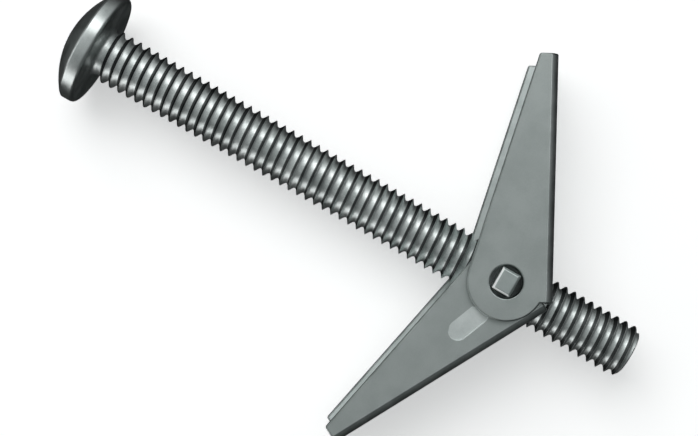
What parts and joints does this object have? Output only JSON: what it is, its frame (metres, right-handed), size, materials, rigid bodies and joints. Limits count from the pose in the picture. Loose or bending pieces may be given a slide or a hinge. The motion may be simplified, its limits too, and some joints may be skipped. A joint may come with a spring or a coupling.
{
  "type": "spring wing toggle bolt",
  "caption": "Hollow-wall toggle anchor: mushroom-head machine screw with a trunnion nut and two spring-opened folding sheet-steel wings.",
  "frame": {"origin": "centre of the flat ring under the screw's head, on the screw's axis", "axes": "+X along the screw from the head to the tip, +Z along the nut's ears, which are the wings' hinge axis, +Y towards the outer wing"},
  "size_m": [0.0922, 0.0626, 0.018],
  "materials": {
    "screw_steel": "bright zinc plate, glossy",
    "nut_steel": "zinc plate, satin",
    "wing_steel": "zinc plate, satin, faint rolling grain",
    "spring_wire": "drawn spring wire"
  },
  "bodies": {
    "screw": {"machine_screw": "screw_steel"},
    "nut": {"trunnion_nut": "nut_steel", "torsion_spring": "spring_wire"},
    "wing_outer": {"outer_wing": "wing_steel"},
    "wing_inner": {"inner_wing": "wing_steel"}
  },
  "joints": [
    {"name": "nut_travel", "type": "slide", "parent": "screw", "child": "nut", "axis": [1, 0, 0], "range_m": [-0.03, 0.017]},
    {"name": "outer_wing_fold", "type": "hinge", "parent": "nut", "child": "wing_outer", "pos_m": [0.0662, 0, 0], "axis": [0, 0, 1], "range_deg": [0, 62], "stiffness_Nm_per_rad": 0.02, "springref_deg": -68.75, "deforming": ["torsion_spring"]},
    {"name": "inner_wing_fold", "type": "hinge", "parent": "nut", "child": "wing_inner", "pos_m": [0.0662, 0, 0], "axis": [0, 0, -1], "range_deg": [0, 62], "stiffness_Nm_per_rad": 0.02, "springref_deg": -68.75, "deforming": ["torsion_spring"]}
  ]
}
